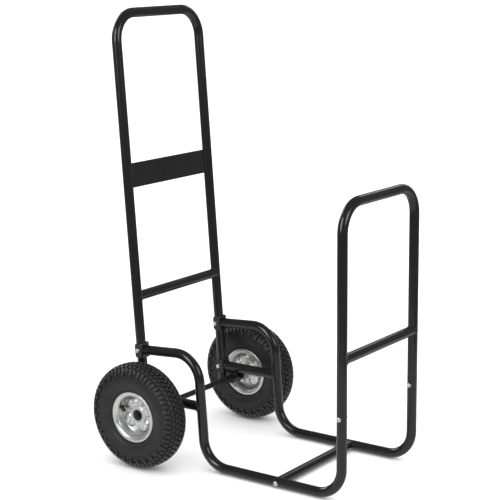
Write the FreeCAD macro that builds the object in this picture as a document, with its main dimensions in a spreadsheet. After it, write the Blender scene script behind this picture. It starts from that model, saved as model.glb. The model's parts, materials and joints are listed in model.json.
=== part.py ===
import FreeCAD, Part
import math
import os

import Sketcher

# Two-wheeled firewood log cart. The axle lies along X, the log rack faces -Y and the push handle
# stands at +Y. The origin is on the floor, at the middle of the ground that the cart covers.

DIMENSIONS = {
    # tubes, all bent on one die
    "tube_od": 25.0,
    "tube_wall": 1.2,
    "bend_radius": 70.0,
    "side_spacing": 335.0,        # between the centre lines of the two side frames
    # handle, measured along its lean from the floor
    "lean_angle": 4.0,            # the handle and the rear legs lean back by this
    "handle_base": 247.5,         # where the handle's centre line meets the floor
    "handle_foot": 112.0,
    "handle_top": 1142.0,
    "handle_bar": 424.0,
    "plate_centre": 734.0,
    "plate_height": 63.0,
    "plate_thickness": 2.0,
    # saddle brackets, struts and legs
    "saddle_height": 38.0,
    "saddle_sheet": 2.5,
    "saddle_reach": 9.0,          # how far the ears pass the upright's centre line
    "saddle_round": 7.0,
    "saddle_gap": 0.1,
    "fold_inside": 0.5,           # inside radius of a folded bracket
    "upper_saddle": 284.0,
    "lower_saddle": 163.0,
    "leg_base": 63.5,             # where the leg's centre line meets the floor
    # front rack, which stands upright
    "rack_y": -342.1,
    "rack_neck": 228.0,
    "rack_top": 719.5,
    "rack_bar": 350.5,
    "rack_bolt_up": 209.5,
    "neck_gap": 0.6,              # between the rack's shoulder and the stub that it plugs into
    "spigot_od": 22.2,
    "spigot_length": 42.0,
    # floor cross tube
    "cross_tube_y": -160.0,
    "insert_length": 12.5,
    "insert_depth": 2.0,          # from the rail's skin to the insert's near end
    # axle
    "axle_y": 218.1,
    "axle_od": 15.0,
    "hanger_width": 34.0,
    "hanger_round": 15.3,
    "pin_hole": 4.0,
    "pin_eye": 3.4,               # how far the eye of a split pin reaches to each side
    "pin_spread": 6.0,
    "pin_inset": 3.5,             # from the hanger's inner face to the pin
    # wheel; its own axis runs outboard along X from the wheel's middle plane
    "wheel_offset": 242.0,
    "tyre_radius": 136.5,
    "tyre_width": 73.0,
    "tyre_wall": 5.0,
    "shoulder_drop": 14.0,        # from the crown down to the side of the tread
    "tread_inset": 10.0,          # from the tyre's side in to the flat of the tread
    "sidewall_foot": 4.0,         # how far past the flange the sidewall starts
    "sidewall_rise": 18.0,        # how far past the flange the tyre is at its widest
    "bead_width": 7.0,
    "tube_gap": 0.3,
    "tube_sheet": 1.5,
    "rim_width": 55.0,
    "rim_sheet": 2.0,
    "flange_radius": 66.0,
    "flange_roll": 7.0,
    "bead_radius": 51.0,
    "rim_crease": 5.0,
    "web_rise": 5.6,              # from the middle plane to the face of the rim's raised web
    "web_radius": 41.0,
    "lug_circle": 37.0,
    "lug_turn": 123.0,
    "hub_end": 6.6,
    "hub_length": 57.0,
    "hub_od": 39.0,
    "hub_bore": 30.0,
    # valve, along its own axis from where it crosses the rim's barrel
    "valve_offset": 9.0,
    "valve_turn": 165.0,
    "valve_tilt": 30.0,
    "valve_hole": 4.6,            # radius
    "valve_root": 4.4,            # radius
    "valve_neck": 3.4,            # radius
    "valve_cap": 4.2,             # radius
    "valve_start": 4.0,
    "valve_collar": 8.0,
    "valve_foot": 15.5,
    "valve_tip": 24.0,
    # bearings
    "bearing_od": 35.0,
    "bearing_width": 11.0,
    "bearing_inset": 0.5,
    "inner_ring_od": 20.4,
    "outer_ring_bore": 29.2,
    "shield_bore": 21.2,
    "shield_sheet": 0.7,
    "ball_diameter": 6.0,
    "ball_circle": 24.8,
    "ball_gap": 0.08,
    "hub_spacer_wall": 2.0,
    "side_spacer_wall": 2.5,
    # fasteners
    "bolt_thread": 6.0,
    "bolt_hole": 6.4,
    "bolt_head": 12.0,
    "bolt_head_height": 4.0,
    "bolt_dome": 3.0,
    "socket_radius": 2.0,
    "socket_depth": 2.0,
    "nut_flats": 10.0,
    "nut_height": 6.0,
    "thread_stub": 2.5,           # thread that shows beyond a nut
    "end_thread": 8.0,
    "end_head_flats": 13.0,
    "end_head_height": 5.3,
    "end_washer": 21.0,
    "end_washer_bore": 8.4,
    "end_washer_sheet": 1.6,
}

TOUCH = 0.01                      # points nearer than this are the same point
LUGS = 4
BALLS = 8
SIDES = {"left": -1, "right": 1}

doc = FreeCAD.newDocument("log_cart")
nodes = {}


# ---- sizes that stay bound to the spreadsheet ----------------------------------------------------

class Size:
    """A dimension: its present value, and the expression that drives it."""

    def __init__(self, value, text):
        self.value = float(value)
        self.text = text

    def __add__(self, other):
        other = size(other)
        return Size(self.value + other.value, f"({self.text} + {other.text})")

    def __sub__(self, other):
        other = size(other)
        return Size(self.value - other.value, f"({self.text} - {other.text})")

    def __mul__(self, other):
        other = size(other)
        return Size(self.value * other.value, f"{self.text} * {other.text}")

    def __truediv__(self, other):
        other = size(other)
        return Size(self.value / other.value, f"{self.text} / {other.text}")

    def __neg__(self):
        return Size(-self.value, f"(0 - {self.text})")

    def __radd__(self, other):
        return size(other) + self

    def __rsub__(self, other):
        return size(other) - self

    def __rmul__(self, other):
        return size(other) * self


def size(number):
    return number if isinstance(number, Size) else Size(number, f"({float(number)!r})")


def sine(angle):
    return Size(math.sin(math.radians(angle.value)), f"sin({angle.text} * 1deg)")


def cosine(angle):
    return Size(math.cos(math.radians(angle.value)), f"cos({angle.text} * 1deg)")


def tangent(angle):
    return Size(math.tan(math.radians(angle.value)), f"tan({angle.text} * 1deg)")


def write_sheet():
    """Fill the spreadsheet, and give each of its cells back as a Size."""
    sheet = doc.addObject("Spreadsheet::Sheet", "Dims")
    cells = {}
    for row, (alias, value) in enumerate(DIMENSIONS.items(), start=1):
        sheet.set(f"A{row}", alias.replace("_", " "))
        sheet.set(f"B{row}", str(value))
        sheet.setAlias(f"B{row}", alias)
        cells[alias] = Size(value, f"Dims.{alias}")
    doc.recompute()
    return cells


def bind(thing, prop, value):
    """Give a property its value and the expression that keeps it there."""
    value = size(value)
    setattr(thing, prop, value.value)
    thing.setExpression(prop, value.text)


def place(thing, x=0, y=0, z=0, axis=(0, 0, 1), angle=0):
    """Place an object, with its position and its angle bound."""
    turn = size(angle)
    where = FreeCAD.Vector(*(size(v).value for v in (x, y, z)))
    thing.Placement = FreeCAD.Placement(where, FreeCAD.Rotation(FreeCAD.Vector(*axis), turn.value))
    for letter, value in zip("xyz", (x, y, z)):
        if isinstance(value, Size):
            thing.setExpression(f"Placement.Base.{letter}", value.text)
    if isinstance(angle, Size):
        thing.setExpression("Placement.Rotation.Angle", angle.text)
    return thing


# ---- sketches and solids -------------------------------------------------------------------------

def new_body(label):
    body = doc.addObject("PartDesign::Body", label)
    body.Label = label
    return body


def new_sketch(body, role, offset=0):
    """A sketch on one of the body's own planes, moved along the plane's normal by offset."""
    plane = next(item for item in body.Origin.OriginFeatures if item.Role == role)
    sketch = body.newObject("Sketcher::SketchObject", f"{body.Label}_sketch")
    sketch.AttachmentSupport = (plane, [""])
    sketch.MapMode = "FlatFace"
    if isinstance(offset, Size):
        sketch.AttachmentOffset = FreeCAD.Placement(FreeCAD.Vector(0, 0, offset.value), FreeCAD.Rotation())
        sketch.setExpression("AttachmentOffset.Base.z", offset.text)
    return sketch


def constrain(sketch, value, name, *constraint):
    """Add a dimension to a sketch, by name, bound to its size."""
    value = size(value)
    index = sketch.addConstraint(Sketcher.Constraint(*constraint, value.value))
    sketch.renameConstraint(index, name)
    sketch.setExpression(f"Constraints.{name}", value.text)


def pin_point(sketch, geometry, end, x, y, name):
    """Hold a point of the sketch at x, y."""
    if size(x).value:
        constrain(sketch, x, f"{name}_x", "DistanceX", -1, 1, geometry, end)
    else:
        sketch.addConstraint(Sketcher.Constraint("PointOnObject", geometry, end, -2))
    if size(y).value:
        constrain(sketch, y, f"{name}_y", "DistanceY", -1, 1, geometry, end)
    else:
        sketch.addConstraint(Sketcher.Constraint("PointOnObject", geometry, end, -1))


def corner_arc(before, corner, after, radius):
    """The arc that rounds a corner: its circle, where it starts and ends, and if it runs backwards."""
    into = (before - corner).normalize()
    out = (after - corner).normalize()
    half = into.getAngle(out) / 2
    run = radius / math.tan(half)
    centre = corner + (into + out).normalize() * (radius / math.sin(half))
    start = corner + into * run
    end = corner + out * run
    backwards = into.cross(out).z > 0
    first, last = (end, start) if backwards else (start, end)
    angles = [math.atan2(p.y - centre.y, p.x - centre.x) for p in (first, last)]
    circle = Part.Circle(centre, FreeCAD.Vector(0, 0, 1), radius)
    return Part.ArcOfCircle(circle, *angles), start, end, backwards


def draw(sketch, points, closed=True, prefix=""):
    """Straight runs through the points. A point with a third value is rounded to that radius."""
    count = len(points)
    spots = [FreeCAD.Vector(size(p[0]).value, size(p[1]).value, 0) for p in points]
    starts = list(spots)
    ends = list(spots)
    arcs = {}
    for i, point in enumerate(points):
        if len(point) == 3:
            radius = size(point[2]).value
            arc = corner_arc(spots[i - 1], spots[i], spots[(i + 1) % count], radius)
            arcs[i] = arc
            ends[i], starts[i] = arc[1], arc[2]
    runs = [(i, (i + 1) % count) for i in range(count if closed else count - 1)]
    lines = {a: sketch.addGeometry(Part.LineSegment(starts[a], ends[b])) for a, b in runs}
    for i, point in enumerate(points):
        incoming = lines.get((i - 1) % count) if closed or i > 0 else None
        outgoing = lines.get(i)
        if i not in arcs:
            if incoming is not None and outgoing is not None:
                sketch.addConstraint(Sketcher.Constraint("Coincident", incoming, 2, outgoing, 1))
            geometry, end = (outgoing, 1) if outgoing is not None else (incoming, 2)
            pin_point(sketch, geometry, end, point[0], point[1], f"{prefix}point{i}")
            continue
        arc, _, _, backwards = arcs[i]
        bend = sketch.addGeometry(arc)
        near, far = (2, 1) if backwards else (1, 2)
        sketch.addConstraint(Sketcher.Constraint("Tangent", incoming, 2, bend, near))
        sketch.addConstraint(Sketcher.Constraint("Tangent", bend, far, outgoing, 1))
        constrain(sketch, point[2], f"{prefix}round{i}", "Radius", bend)
        corner = sketch.addGeometry(Part.Point(spots[i]), True)
        sketch.addConstraint(Sketcher.Constraint("PointOnObject", corner, 1, incoming))
        sketch.addConstraint(Sketcher.Constraint("PointOnObject", corner, 1, outgoing))
        pin_point(sketch, corner, 1, point[0], point[1], f"{prefix}corner{i}")


def draw_circle(sketch, x, y, radius, name="ring"):
    centre = FreeCAD.Vector(size(x).value, size(y).value, 0)
    circle = sketch.addGeometry(Part.Circle(centre, FreeCAD.Vector(0, 0, 1), size(radius).value))
    pin_point(sketch, circle, 3, x, y, name)
    constrain(sketch, radius, f"{name}_radius", "Radius", circle)


def revolve(body, outline, hollow=()):
    """Turn an outline of (along, radius) points, perhaps hollow, about the body's X axis."""
    sketch = new_sketch(body, "XZ_Plane")
    draw(sketch, outline)
    if hollow:
        draw(sketch, hollow, prefix="hollow_")
    feature = body.newObject("PartDesign::Revolution", f"{body.Label}_turned")
    feature.Profile = sketch
    feature.ReferenceAxis = (sketch, ["H_Axis"])
    feature.Angle = 360
    return body


def groove(body, along, radius, circle):
    """Turn a round groove about the body's X axis."""
    sketch = new_sketch(body, "XZ_Plane")
    draw_circle(sketch, along, radius, circle)
    feature = body.newObject("PartDesign::Groove", f"{body.Label}_groove")
    feature.Profile = sketch
    feature.ReferenceAxis = (sketch, ["H_Axis"])
    feature.Angle = 360
    return feature


def pad(body, sketch, length):
    """Pad a sketch by length, half to each side of its plane."""
    feature = body.newObject("PartDesign::Pad", f"{body.Label}_pad")
    feature.Profile = sketch
    feature.SideType = "Symmetric"
    bind(feature, "Length", length)
    return feature


def drill(body, role, holes, radius):
    """Drill round holes right through the body, square to one of its planes."""
    doc.recompute()
    before = body.Shape.Volume
    sketch = new_sketch(body, role)
    for number, (x, y) in enumerate(holes):
        draw_circle(sketch, x, y, radius, f"hole{number}")
    feature = body.newObject("PartDesign::Pocket", f"{body.Label}_holes")
    feature.Profile = sketch
    feature.SideType = "Symmetric"
    feature.Type = "ThroughAll"
    doc.recompute()
    if body.Shape.Volume >= before:
        raise RuntimeError(f"{body.Label}: the holes cut nothing")
    return feature


def round_edges(body, feature, letter, wanted, radius):
    """Round the straight edges along one axis whose middles the test picks out."""
    names = []
    for number, edge in enumerate(body.Shape.Edges, start=1):
        run = edge.Vertexes[-1].Point - edge.Vertexes[0].Point
        if run.Length > TOUCH and abs(getattr(run, letter)) > run.Length * 0.999:
            if wanted(edge.CenterOfMass):
                names.append(f"Edge{number}")
    rounds = body.newObject("PartDesign::Fillet", f"{body.Label}_rounds")
    rounds.Base = (feature, names)
    bind(rounds, "Radius", radius)


def bend_tube(body, role, route, outer, bore=None):
    """Sweep a round tube, or a solid wire without a bore, along a route drawn on a plane."""
    path = new_sketch(body, role)
    draw(path, route, closed=False)
    doc.recompute()
    section = body.newObject("Sketcher::SketchObject", f"{body.Label}_section")
    section.AttachmentSupport = [(path, "Edge1")]
    section.MapMode = "NormalToEdge"
    section.MapPathParameter = 0
    draw_circle(section, 0, 0, outer, "outside")
    if bore is not None:
        draw_circle(section, 0, 0, bore, "inside")
    feature = body.newObject("PartDesign::AdditivePipe", f"{body.Label}_bent")
    feature.Profile = section
    feature.Spine = (path, [f"Edge{n + 1}" for n in range(len(path.Shape.Edges))])
    return body


def cylinder(name, radius, height, **where):
    rod = doc.addObject("Part::Cylinder", name)
    bind(rod, "Radius", radius)
    bind(rod, "Height", height)
    return place(rod, **where)


def cut(name, base, *tools):
    """The base with every tool taken away, one after the other."""
    for number, tool in enumerate(tools, start=1):
        result = doc.addObject("Part::Cut", name if number == len(tools) else f"{name}_step{number}")
        result.Base = base
        result.Tool = tool
        base = result
    base.Label = name
    return base


def group(name, members, **where):
    """Several separate solids in one node."""
    bundle = doc.addObject("Part::Compound", name)
    bundle.Label = name
    bundle.Links = members
    return place(bundle, **where)


def node(thing):
    """Keep an object as a sub-part of the cart, under its own label."""
    nodes[thing.Label] = thing
    return thing


# ---- places that several pieces share ------------------------------------------------------------

D = write_sheet()
half = D["side_spacing"] / 2
tube_r = D["tube_od"] / 2
bore_r = tube_r - D["tube_wall"]
lean = D["lean_angle"]
axle_r = D["axle_od"] / 2
saddle_face = tube_r + D["saddle_gap"] + D["saddle_sheet"]
ALONG_X = {"axis": (0, 1, 0), "angle": 90}
ALONG_Y = {"axis": (1, 0, 0), "angle": -90}
LEANING = (-1, 0, 0)
HALF_TURN = {"axis": (0, 0, 1), "angle": 180}
AS_DRAWN = {"axis": (0, 0, 1), "angle": 0}


def on_handle(along, ahead=0):
    """Y and Z of a point up the leaning handle, ahead of its centre line."""
    y = D["handle_base"] + along * sine(lean) - ahead * cosine(lean)
    return y, along * cosine(lean) + ahead * sine(lean)


def with_handle(thing):
    return place(thing, y=D["handle_base"], axis=LEANING, angle=lean)


def with_rack(thing):
    return place(thing, y=D["rack_y"])


# ---- fasteners -----------------------------------------------------------------------------------

def socket_bolt(name, length):
    """A domed bolt along X, its head's underside at x = 0 and its shank towards +X."""
    body = new_body(name)
    shank = D["bolt_thread"] / 2
    rim = D["bolt_head"] / 2
    top = -D["bolt_head_height"]
    revolve(body, [(top, 0), (top, rim, D["bolt_dome"]), (0, rim), (0, shank), (length, shank), (length, 0)])
    sketch = new_sketch(body, "YZ_Plane", top)
    corners = [math.radians(60 * k) for k in range(6)]
    draw(sketch, [(D["socket_radius"] * math.cos(a), D["socket_radius"] * math.sin(a)) for a in corners])
    recess = body.newObject("PartDesign::Pocket", f"{name}_socket")
    recess.Profile = sketch
    recess.SideType = "Symmetric"
    bind(recess, "Length", D["socket_depth"] * 2)
    return body


def facing(side):
    """Turn a bolt that is drawn heading for +X so that its head is on this side of the cart."""
    return HALF_TURN if side > 0 else AS_DRAWN


def hex_block(name, flats, height, bore, **where):
    """A six-sided block along X, with a round bore when it is a nut."""
    block = doc.addObject("Part::Prism", f"{name}_block")
    block.Polygon = 6
    bind(block, "Circumradius", flats / 2 / cosine(size(30)))
    bind(block, "Height", height)
    if bore is None:
        return place(block, **where)
    hole = cylinder(f"{name}_bore", bore, height)
    return place(cut(name, block, hole), **where)


def bolts_across(name, spots, grip, seat):
    """Bolts and lock nuts through tubes at (side, y, z), the heads out at seat from the tube's centre."""
    bolts = []
    nuts = []
    length = grip + D["nut_height"] + D["thread_stub"]
    for number, (side, y, z) in enumerate(spots):
        head_x = side * (half + seat)
        nut_x = side * (half + seat - grip)
        bolt = socket_bolt(f"{name}_bolt{number}", length)
        bolts.append(place(bolt, x=head_x, y=y, z=z, **facing(side)))
        inward = {"axis": (0, 1, 0), "angle": -90 if side > 0 else 90}
        nuts.append(hex_block(f"{name}_nut{number}", D["nut_flats"], D["nut_height"],
                              D["bolt_thread"] / 2, x=nut_x, y=y, z=z, **inward))
    node(group(f"{name}_bolts", bolts))
    node(group(f"{name}_nuts", nuts))


# ---- the tubular frame ---------------------------------------------------------------------------

def make_handle():
    """The tall inverted U, with its plate and its crossbar."""
    body = new_body("handle_frame")
    route = [(-half, D["handle_foot"]), (-half, D["handle_top"], D["bend_radius"]),
             (half, D["handle_top"], D["bend_radius"]), (half, D["handle_foot"])]
    bend_tube(body, "XZ_Plane", route, tube_r, bore_r)
    drill(body, "YZ_Plane", [(0, D["upper_saddle"]), (0, D["lower_saddle"])], D["bolt_hole"] / 2)
    node(with_handle(body))

    plate = new_body("handle_plate")
    sketch = new_sketch(plate, "XZ_Plane")
    reach = half - tube_r
    low = D["plate_centre"] - D["plate_height"] / 2
    high = D["plate_centre"] + D["plate_height"] / 2
    draw(sketch, [(-reach, low), (reach, low), (reach, high), (-reach, high)])
    pad(plate, sketch, D["plate_thickness"])
    node(with_handle(plate))
    node(with_handle(crossbar("handle_crossbar", D["handle_bar"])))


def crossbar(name, height):
    """A straight tube between two uprights, its ends cut round to fit them."""
    outside = cylinder(f"{name}_outside", tube_r, D["side_spacing"], x=-half, z=height, **ALONG_X)
    inside = cylinder(f"{name}_inside", bore_r, D["side_spacing"], x=-half, z=height, **ALONG_X)
    uprights = [cylinder(f"{name}_{side}_cope", tube_r, D["tube_od"] * 2, x=half * sign,
                         z=height - D["tube_od"]) for side, sign in SIDES.items()]
    return cut(name, outside, inside, *uprights)


def make_side_frame(side, sign):
    """One bent tube: from the upper saddle forward, down the leg, along the floor and up the stub."""
    body = new_body(f"side_frame_{side}")
    bend = D["bend_radius"]
    tail = on_handle(D["upper_saddle"], tube_r + D["saddle_sheet"])
    spread = (D["handle_base"] - D["leg_base"]) * cosine(lean)
    knee = on_handle(D["upper_saddle"], spread)
    heel = (D["leg_base"] + tube_r * tangent(lean), tube_r)
    toe = (D["rack_y"], tube_r)
    stub = (D["rack_y"], D["rack_neck"] - D["neck_gap"])
    bend_tube(body, "YZ_Plane", [tail, (*knee, bend), (*heel, bend), (*toe, bend), stub], tube_r, bore_r)
    holes = [(D["rack_y"], D["rack_bolt_up"]), (D["cross_tube_y"], tube_r)]
    drill(body, "YZ_Plane", holes, D["bolt_hole"] / 2)
    node(place(body, x=half * sign))


def make_saddle(name, sign, along):
    """A folded U of sheet that holds the upright: a flat web ahead of it and an ear on each side."""
    body = new_body(name)
    web = -(tube_r + D["saddle_sheet"])
    inner = tube_r + D["saddle_gap"]
    outer = inner + D["saddle_sheet"]
    fold = D["saddle_sheet"] + D["fold_inside"]
    sketch = new_sketch(body, "XY_Plane", along)
    draw(sketch, [(-outer, web, fold), (outer, web, fold), (outer, D["saddle_reach"]),
                  (inner, D["saddle_reach"]), (inner, -tube_r), (-inner, -tube_r),
                  (-inner, D["saddle_reach"]), (-outer, D["saddle_reach"])])
    pad(body, sketch, D["saddle_height"])
    holes = drill(body, "YZ_Plane", [(0, along)], D["bolt_hole"] / 2)
    round_edges(body, holes, "x", lambda spot: abs(spot.y - D["saddle_reach"].value) < TOUCH
                and abs(abs(spot.z - along.value) - D["saddle_height"].value / 2) < TOUCH,
                D["saddle_round"])
    node(place(body, x=half * sign, y=D["handle_base"], axis=LEANING, angle=lean))


def make_strut(side, sign):
    """A short level tube from the lower saddle to the leg, its front end cut round to fit."""
    name = f"axle_strut_{side}"
    height = D["lower_saddle"]
    rear = on_handle(height, tube_r + D["saddle_sheet"])[0] - tube_r * tangent(lean)
    leg = D["leg_base"] + height * tangent(lean)
    where = {"x": half * sign, "y": leg, "z": height, **ALONG_Y}
    outside = cylinder(f"{name}_outside", tube_r, rear - leg, **where)
    inside = cylinder(f"{name}_inside", bore_r, rear - leg, **where)
    cope = cylinder(f"{name}_cope", tube_r, height * 2, x=half * sign, y=D["leg_base"],
                    axis=LEANING, angle=lean)
    node(cut(name, outside, inside, cope))


def make_hanger(side, sign):
    """A folded U of sheet under the strut, welded on by its web; the axle runs through both ears."""
    body = new_body(f"axle_hanger_{side}")
    sketch = new_sketch(body, "XZ_Plane", -D["axle_y"])
    inner = tube_r + D["saddle_gap"]
    outer = inner + D["saddle_sheet"]
    fold = D["saddle_sheet"] + D["fold_inside"]
    roof = D["lower_saddle"] - tube_r
    floor = D["tyre_radius"] - D["hanger_width"] / 2
    draw(sketch, [(-outer, floor), (-outer, roof, fold), (outer, roof, fold), (outer, floor),
                  (inner, floor), (inner, roof - D["saddle_sheet"]), (-inner, roof - D["saddle_sheet"]),
                  (-inner, floor)])
    pad(body, sketch, D["hanger_width"])
    holes = drill(body, "YZ_Plane", [(D["axle_y"], D["tyre_radius"])], axle_r)
    round_edges(body, holes, "x", lambda spot: abs(spot.z - floor.value) < TOUCH
                and abs(abs(spot.y - D["axle_y"].value) - D["hanger_width"].value / 2) < TOUCH,
                D["hanger_round"])
    node(place(body, x=half * sign))


def pin_x(sign):
    """Where a split pin crosses the axle, just inboard of a hanger."""
    return (half - saddle_face - D["pin_inset"]) * sign


def make_axle():
    """The rod through both hangers and both wheels, tapped at its ends and drilled for its pins."""
    reach = D["wheel_offset"] + D["hub_end"] - D["bearing_inset"] * 2
    rod = cylinder("axle_rod", axle_r, reach * 2, x=-reach, y=D["axle_y"], z=D["tyre_radius"], **ALONG_X)
    tools = []
    for side, sign in SIDES.items():
        depth = D["end_thread"] * 3
        start = -reach if sign < 0 else reach - depth
        tools.append(cylinder(f"axle_thread_{side}", D["end_thread"] / 2, depth, x=start,
                              y=D["axle_y"], z=D["tyre_radius"], **ALONG_X))
        tools.append(cylinder(f"axle_pin_hole_{side}", D["pin_hole"] / 2, D["axle_od"] * 2,
                              x=pin_x(sign), y=D["axle_y"], z=D["tyre_radius"] - D["axle_od"]))
    node(cut("axle", rod, *tools))


def make_split_pins():
    """Split pins through the axle: an eye on top, and two legs bent apart underneath."""
    pins = []
    wire = D["pin_hole"] / 4 - 0.05
    kink = wire * 1.6
    eye = D["pin_eye"]
    crown = eye - 0.4
    neck = axle_r + wire
    brow = neck + eye * 0.7
    top = neck + eye * 2
    foot = -axle_r - wire * 2.6
    for side, sign in SIDES.items():
        body = new_body(f"split_pin_{side}")
        leg = [(D["pin_spread"], foot - wire * 3), (wire, foot, wire * 2), (wire, neck, kink),
               (eye, brow, kink), (eye, top, crown)]
        route = leg + [(-y, *rest) for y, *rest in reversed(leg)]
        bend_tube(body, "YZ_Plane", route, wire)
        pins.append(place(body, x=pin_x(sign), y=D["axle_y"], z=D["tyre_radius"]))
    node(group("axle_split_pins", pins))


def make_floor_tube():
    """The floor cross tube, with a tapped insert in each end and a bolt through each rail."""
    where = {"x": -half, "y": D["cross_tube_y"], "z": tube_r, **ALONG_X}
    outside = cylinder("floor_tube_outside", tube_r, D["side_spacing"], **where)
    inside = cylinder("floor_tube_inside", bore_r, D["side_spacing"], **where)
    copes = [cylinder(f"floor_tube_cope_{side}", tube_r, D["tube_od"] * 2, x=half * sign,
                      y=D["cross_tube_y"] - D["tube_od"], z=tube_r, **ALONG_Y)
             for side, sign in SIDES.items()]
    node(cut("floor_cross_tube", outside, inside, *copes))

    deep = D["insert_length"]
    near = half - tube_r - D["insert_depth"]
    bolts = []
    inserts = []
    for side, sign in SIDES.items():
        bolt = socket_bolt(f"floor_tube_bolt_{side}", D["tube_od"] + D["insert_depth"] + deep)
        bolts.append(place(bolt, x=(half + tube_r) * sign, y=D["cross_tube_y"], z=tube_r, **facing(sign)))
        start = near - deep if sign > 0 else -near
        spot = {"x": start, "y": D["cross_tube_y"], "z": tube_r, **ALONG_X}
        plug = cylinder(f"insert_{side}_outside", bore_r, deep, **spot)
        hole = cylinder(f"insert_{side}_thread", D["bolt_thread"] / 2, deep, **spot)
        inserts.append(cut(f"insert_{side}", plug, hole))
    node(group("floor_tube_bolts", bolts))
    node(group("floor_tube_inserts", inserts))


def make_rack():
    """The front rack: an inverted U whose narrowed ends plug into the side frames' stubs."""
    body = new_body("rack_frame")
    route = [(-half, D["rack_neck"]), (-half, D["rack_top"], D["bend_radius"]),
             (half, D["rack_top"], D["bend_radius"]), (half, D["rack_neck"])]
    bend_tube(body, "XZ_Plane", route, tube_r, bore_r)
    spigot = D["spigot_od"] / 2
    low = D["rack_neck"] - D["spigot_length"]
    high = D["rack_neck"] + D["tube_od"] / 2
    for side, sign in SIDES.items():
        sketch = new_sketch(body, "XY_Plane", (low + high) / 2)
        draw_circle(sketch, half * sign, 0, spigot, "outside")
        draw_circle(sketch, half * sign, 0, spigot - D["tube_wall"], "inside")
        pad(body, sketch, high - low)
    for side, sign in SIDES.items():
        sketch = new_sketch(body, "XY_Plane", high)
        draw_circle(sketch, half * sign, 0, bore_r, "outside")
        draw_circle(sketch, half * sign, 0, spigot - D["tube_wall"], "inside")
        pad(body, sketch, D["tube_wall"] * 2)
    drill(body, "YZ_Plane", [(0, D["rack_bolt_up"])], D["bolt_hole"] / 2)
    node(with_rack(body))
    node(with_rack(crossbar("rack_crossbar", D["rack_bar"])))


# ---- what the axle carries between the hangers and the wheels --------------------------------------

def sleeve(name, bore, outer, start, end, sign):
    """A plain round sleeve on the axle, from start to end out from the cart's middle."""
    first = start if sign > 0 else -end
    where = {"x": first, "y": D["axle_y"], "z": D["tyre_radius"], **ALONG_X}
    outside = cylinder(f"{name}_outside", outer, end - start, **where)
    inside = cylinder(f"{name}_inside", bore, end - start, **where)
    return cut(name, outside, inside)


def bearing_centres():
    """Middle planes of the outer and the inner bearing, from the wheel's middle plane."""
    step = D["bearing_inset"] + D["bearing_width"] / 2
    return [D["hub_end"] - step, D["hub_end"] - D["hub_length"] + step]


def make_axle_fittings():
    """Bearing inner rings, spacers, and the washer and bolt that close each end of the axle."""
    width = D["bearing_width"]
    outer, inner = bearing_centres()
    wheel = D["wheel_offset"]
    rings, hub_spacers, side_spacers, washers, bolts = [], [], [], [], []
    for side, sign in SIDES.items():
        for name, centre in (("outer", outer), ("inner", inner)):
            ring = new_body(f"inner_ring_{side}_{name}")
            edge = D["inner_ring_od"] / 2
            revolve(ring, [(-width / 2, axle_r), (width / 2, axle_r), (width / 2, edge), (-width / 2, edge)])
            groove(ring, 0, D["ball_circle"] / 2, D["ball_diameter"] / 2 + D["ball_gap"])
            rings.append(place(ring, x=(wheel + centre) * sign, y=D["axle_y"], z=D["tyre_radius"]))
        hub_spacers.append(sleeve(f"hub_spacer_{side}", axle_r, axle_r + D["hub_spacer_wall"],
                                  wheel + inner + width / 2, wheel + outer - width / 2, sign))
        side_spacers.append(sleeve(f"side_spacer_{side}", axle_r, axle_r + D["side_spacer_wall"],
                                   half + saddle_face, wheel + inner - width / 2, sign))
        face = wheel + outer + width / 2
        under = face + D["end_washer_sheet"]
        washers.append(sleeve(f"end_washer_{side}", D["end_washer_bore"] / 2, D["end_washer"] / 2,
                              face, under, sign))
        bolts.append(end_bolt(side, sign, under))
    node(group("bearing_inner_rings", rings))
    node(group("hub_spacers", hub_spacers))
    node(group("side_spacers", side_spacers))
    node(group("axle_end_washers", washers))
    node(group("axle_end_bolts", bolts))


def end_bolt(side, sign, under):
    """A six-sided bolt in the end of the axle, its head on the washer at under."""
    thread = D["end_thread"] / 2
    length = D["end_thread"] * 2.5
    start = under - length if sign > 0 else -under
    where = {"x": start, "y": D["axle_y"], "z": D["tyre_radius"], **ALONG_X}
    shank = cylinder(f"end_bolt_shank_{side}", thread, length, **where)
    turn = {"axis": (0, 1, 0), "angle": 90 * sign}
    head = hex_block(f"end_bolt_head_{side}", D["end_head_flats"], D["end_head_height"], None,
                     x=under * sign, y=D["axle_y"], z=D["tyre_radius"], **turn)
    bolt = doc.addObject("Part::Fuse", f"end_bolt_{side}")
    bolt.Base = shank
    bolt.Tool = head
    return bolt


# ---- wheels --------------------------------------------------------------------------------------

def with_wheel(thing, sign):
    """Set a piece drawn about the wheel's own axis in its place on the axle."""
    return place(thing, x=D["wheel_offset"] * sign, y=D["axle_y"], z=D["tyre_radius"],
                 axis=(0, 0, 1), angle=0 if sign > 0 else 180)


def mirrored(points):
    """Points on one side of the wheel's middle plane, then the same on the other side."""
    return points + [(-p[0], *p[1:]) for p in reversed(points)]


def tyre_outline(shrink=0):
    """Half of a tyre's outer skin from bead to tread, moved inwards by shrink."""
    wide = D["tyre_width"] / 2 - shrink
    crown = D["tyre_radius"] - shrink
    seat = D["rim_width"] / 2 - D["rim_sheet"] - shrink
    foot = D["flange_radius"] + D["sidewall_foot"]
    waist = D["flange_radius"] + D["sidewall_rise"]
    edge = crown - D["shoulder_drop"]
    return [(seat, foot, 8.0), (wide, waist, 14.0), (wide, edge, 12.0), (wide - D["tread_inset"], crown, 8.0)]


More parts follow.
